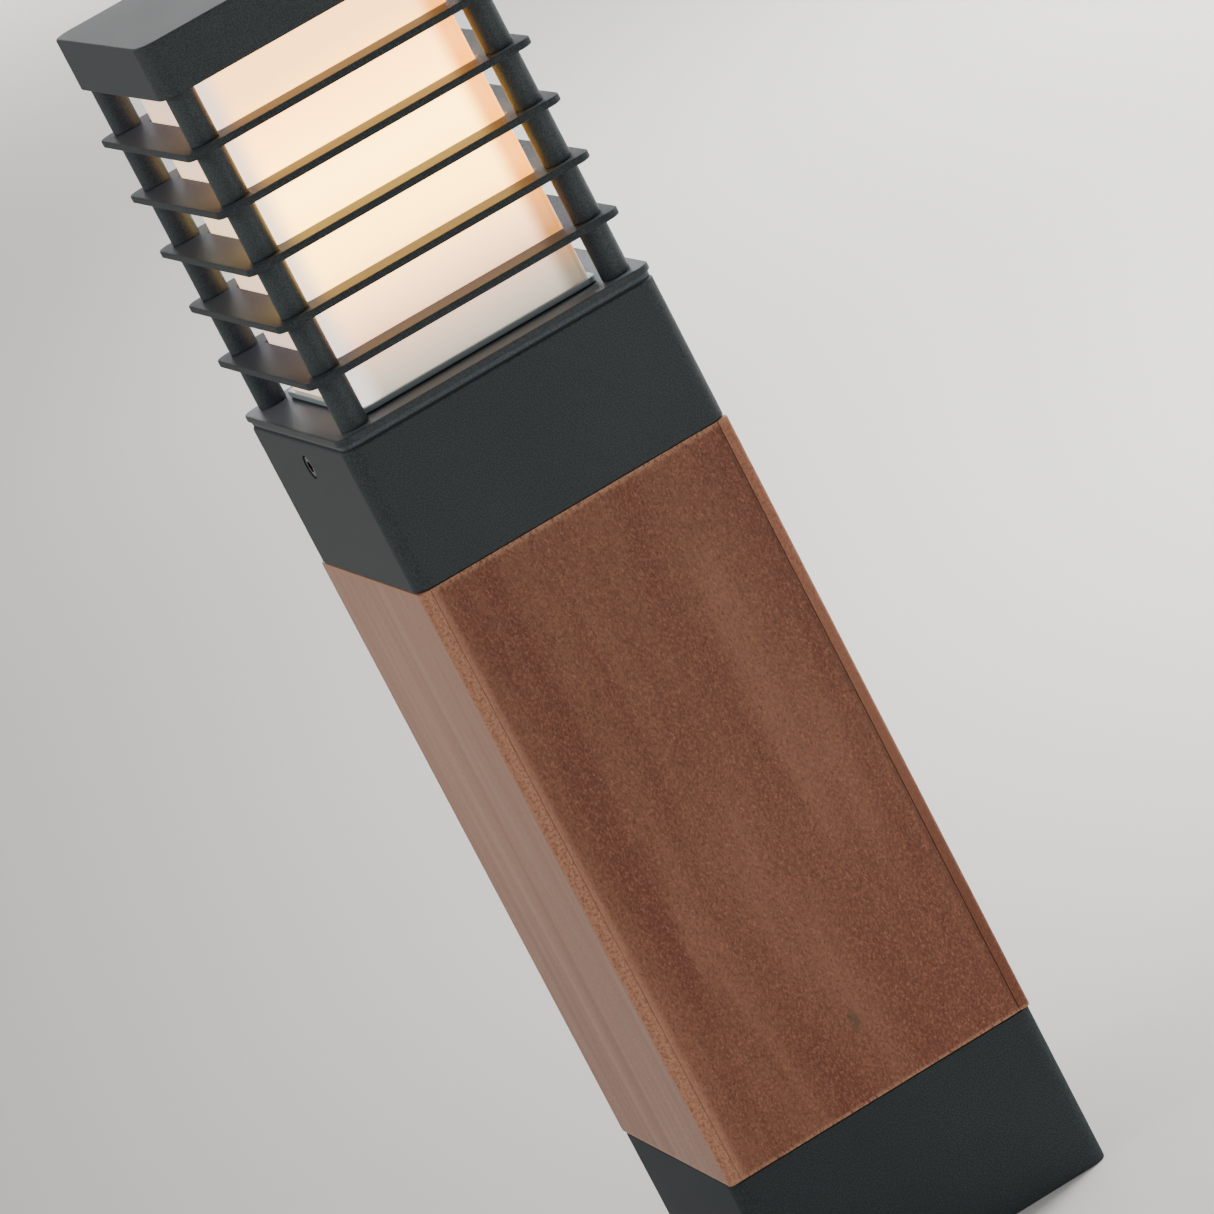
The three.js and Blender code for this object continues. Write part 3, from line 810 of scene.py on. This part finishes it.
capShape = {"radius": 7 * mm, "wall": 3.5 * mm, "roof": 5 * mm, "edge": 0.8 * mm, "lower": 0.5 * mm,
            "boss": 6.2 * mm, "bossGap": 0.02 * mm, "bossSink": 0.2 * mm}


def makeCap():
    low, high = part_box("cap")
    mesh = blockMesh(high.x - low.x, capShape["radius"], low.z, high.z)
    softenRim(mesh, high.z, capShape["edge"], 3)
    softenRim(mesh, low.z, capShape["lower"])
    hollow(mesh, low.z, capShape["wall"] - capShape["lower"], high.z - low.z - capShape["roof"])
    for sx, sy in cornersOfHead.values():
        bossTop = high.z - capShape["roof"] + capShape["bossSink"]
        addRod(mesh, capShape["boss"], low.z + capShape["bossGap"], bossTop,
               sx * column["offset"], sy * column["offset"], 32)
    place(makeObject("cap_shell", mesh), capPaint, "head", ["cap"], "anthracite_paint")


diffuserShape = {"width": 88 * mm, "radius": 3 * mm, "wall": 3 * mm, "edge": 1.2 * mm}
flangeShape = {"height": 1.8 * mm, "radius": 4 * mm, "overlap": 0.4 * mm, "innerRadius": 2.8 * mm,
               "edge": 0.4 * mm}


def makeDiffuser():
    low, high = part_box("diffuser")
    width = diffuserShape["width"]
    mesh = blockMesh(width, diffuserShape["radius"], low.z, high.z, 8)
    softenRim(mesh, high.z, diffuserShape["edge"], 3)
    hollow(mesh, low.z, diffuserShape["wall"], high.z - low.z - diffuserShape["wall"])
    walls = makeObject("diffuser_box", mesh)
    mesh = bmesh.new()
    flangeTop = low.z + flangeShape["height"]
    outer = (high.x - low.x, flangeShape["radius"])
    inner = (width - flangeShape["overlap"], flangeShape["innerRadius"])
    addRing(mesh, outer, inner, low.z, flangeTop, 8)
    softenRim(mesh, flangeTop, flangeShape["edge"], 2, high.x - 0.003)
    flange = makeObject("diffuser_flange", mesh)
    for piece, finish in ((walls, opalPlastic), (flange, opalSeat)):
        place(piece, finish, "head", ["diffuser"], "opal_acrylic")


for index in range(1, 6):
    makeLouvre(f"louvre_{index}")
makeHeadPlate()
makeSpacers()
makeTieRods()
makeCap()
makeDiffuser()
print("head made")


def threadedProfile(low, high, radius, pitch, depth):
    profile = []
    height = low
    while height < high - touching:
        for part in range(8):
            turn = part / 8
            wave = depth / 2 * math.cos(2 * math.pi * turn)
            profile.append((radius - depth / 2 + wave, height + turn * pitch))
        height += pitch
    return [(r, min(h, high)) for r, h in profile]


def makeLamp():
    low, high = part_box("lamp_screw_cap")
    mesh = bmesh.new()
    profile = [(0, low.z), (4.6 * mm, low.z), (5 * mm, low.z + 0.5 * mm)]
    profile += [(8.5 * mm, low.z + 5 * mm)]
    profile += threadedProfile(low.z + 7 * mm, high.z - 2.4 * mm, 13.2 * mm, 3.2 * mm, 1.5 * mm)
    profile += [(13.0 * mm, high.z - 1.2 * mm), (13.0 * mm, high.z), (0, high.z)]
    addTurned(mesh, profile)
    thread = makeObject("lamp_thread", mesh, 60)
    place(thread, aluminium, "lamp", ["lamp_screw_cap"], "mill_aluminium")
    low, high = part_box("lamp_bulb")
    radius = 30 * mm
    centre = high.z - radius
    mesh = bmesh.new()
    profile = [(0, low.z), (14.2 * mm, low.z), (14.6 * mm, low.z + 0.4 * mm)]
    profile += [(15.5 * mm, low.z + 4 * mm)]
    start = math.acos(-0.82)
    for part in range(25):
        turn = start * (1 - part / 24)
        profile.append((max(0, radius * math.sin(turn)), centre + radius * math.cos(turn)))
    addTurned(mesh, profile)
    place(makeObject("lamp_glass", mesh, 60), bulbGlass, "lamp", ["lamp_bulb"], "frosted_glass")


def makeLampholder():
    low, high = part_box("lampholder")
    radius = high.x
    mesh = bmesh.new()
    profile = [(0, low.z), (radius - 3.5 * mm, low.z), (radius - 3 * mm, low.z + 0.5 * mm)]
    profile += [(radius - 0.2 * mm, low.z + 11 * mm), (radius, low.z + 12.5 * mm)]
    profile += [(radius, high.z - 9 * mm)]
    profile += [(radius - 0.6 * mm, high.z - 8.4 * mm), (radius - 0.6 * mm, high.z - 0.9 * mm)]
    profile += [(radius - 1.5 * mm, high.z), (14.8 * mm, high.z), (14.2 * mm, high.z - 0.7 * mm)]
    profile += [(14.2 * mm, low.z + 16 * mm), (0, low.z + 16 * mm)]
    addTurned(mesh, profile)
    holder = makeObject("porcelain_holder", mesh)
    place(holder, porcelain, "pillar", ["lampholder"], "white_porcelain")


makeLamp()
makeLampholder()
print("lamp made")


keptFinishes = {
    "ground_bracket": zinc, "lampholder_bracket": zinc, "core_tube": aluminium,
    "head_gasket": rubber, "diffuser_gasket": rubber,
    "bracket_screw_left": steel, "bracket_screw_right": steel,
    "cable_gland": nylon, "terminal_block": nylon, "lamp_lead": sheath,
}
for node, finish in keptFinishes.items():
    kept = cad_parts[node]
    kept.data.materials.clear()
    kept.data.materials.append(finish)
print("kept pieces finished")


floorTone = {"size": 40, "shade": (0.500, 0.479, 0.452), "light": (0.770, 0.758, 0.727)}


def makeFloor():
    mesh = bmesh.new()
    bmesh.ops.create_grid(mesh, x_segments=8, y_segments=8, size=floorTone["size"])
    floor = makeObject("floor", mesh)
    finish = Finish("pale floor")
    x, y = finish.axes()[:2]
    cloud = finish.noise(1.5, 2, 0.5)
    # painted light and shade: the floor is painted lighter to the right and far back, and darker to
    # the left
    across = x - y * 0.28 + (cloud - 0.5) * 0.1
    share = across.step(-0.47, 0.24) + y.step(0.4, 2.4) * 0.35
    colour = finish.mix(share, floorTone["shade"], floorTone["light"])
    inputs = {"Base Color": colour, "Roughness": 0.9 + cloud * 0.05}
    floor.data.materials.append(principled(finish, inputs))


studio = {"front": 0.31, "back": 0.56}


def makeStudio():
    world = bpy.data.worlds.new("studio")
    scene.world = world
    world.use_nodes = True
    tree = world.node_tree
    tree.nodes.clear()
    place = tree.nodes.new("ShaderNodeTexCoord")
    split = tree.nodes.new("ShaderNodeSeparateXYZ")
    ramp = tree.nodes.new("ShaderNodeMapRange")
    background = tree.nodes.new("ShaderNodeBackground")
    output = tree.nodes.new("ShaderNodeOutputWorld")
    ramp.inputs["From Min"].default_value = -1
    ramp.inputs["To Min"].default_value = studio["front"]
    ramp.inputs["To Max"].default_value = studio["back"]
    tree.links.new(place.outputs["Generated"], split.inputs[0])
    tree.links.new(split.outputs["Y"], ramp.inputs["Value"])
    tree.links.new(ramp.outputs[0], background.inputs["Strength"])
    background.inputs["Color"].default_value = (1.0, 0.99, 0.975, 1)
    tree.links.new(background.outputs[0], output.inputs[0])


lamps = {
    "left softbox": {
        "at": (-1.10, 0.00, 0.85), "to": (0, 0, 0.40), "size": 0.72, "power": 5.1
    },
    "near right softbox": {
        "at": (1.00, 0.45, 0.90), "to": (1.00, 0.45, 0), "size": 0.6, "power": 35
    },
    "back right softbox": {
        "at": (1.10, 1.70, 0.80), "to": (1.10, 1.70, 0), "size": 0.6, "power": 20
    },
    "far softbox": {
        "at": (1.00, 4.20, 1.20), "to": (0.80, 4.10, 0), "size": 0.9, "power": 46
    },
    "low strip": {
        "at": (0.50, -1.20, 0.12), "to": (0.02, -0.03, 0.40), "size": 0.3, "power": 2.6
    },
}


def makeLights():
    for name, values in lamps.items():
        light = bpy.data.lights.new(name, "AREA")
        light.shape = "SQUARE"
        light.size = values["size"]
        light.energy = values["power"]
        holder = bpy.data.objects.new(name, light)
        scene.collection.objects.link(holder)
        holder.location = values["at"]
        aim = Vector(values["to"]) - holder.location
        holder.rotation_euler = aim.to_track_quat("-Z", "Y").to_euler()


viewpoint = {"at": (-0.5778, -2.5667, 0.8661), "azimuth": -12.8475, "elevation": 13.4211,
             "roll": -27.5428, "lens": 239.33, "sensor": 36, "near": 0.05, "far": 200}


def makeCamera():
    data = bpy.data.cameras.new("camera")
    data.lens = viewpoint["lens"]
    data.sensor_width = viewpoint["sensor"]
    data.clip_start = viewpoint["near"]
    data.clip_end = viewpoint["far"]
    camera = bpy.data.objects.new("camera", data)
    scene.collection.objects.link(camera)
    azimuth, elevation = math.radians(viewpoint["azimuth"]), math.radians(viewpoint["elevation"])
    outward = math.cos(elevation)
    back = Vector((math.sin(azimuth) * outward, -math.cos(azimuth) * outward, math.sin(elevation)))
    level = (-back).to_track_quat("-Z", "Y")
    camera.location = viewpoint["at"]
    camera.rotation_mode = "QUATERNION"
    camera.rotation_quaternion = level @ Quaternion((0, 0, 1), math.radians(viewpoint["roll"]))
    scene.camera = camera


makeFloor()
makeStudio()
makeLights()
makeCamera()
print("floor, light and camera made")

scene.view_layers[0].update()
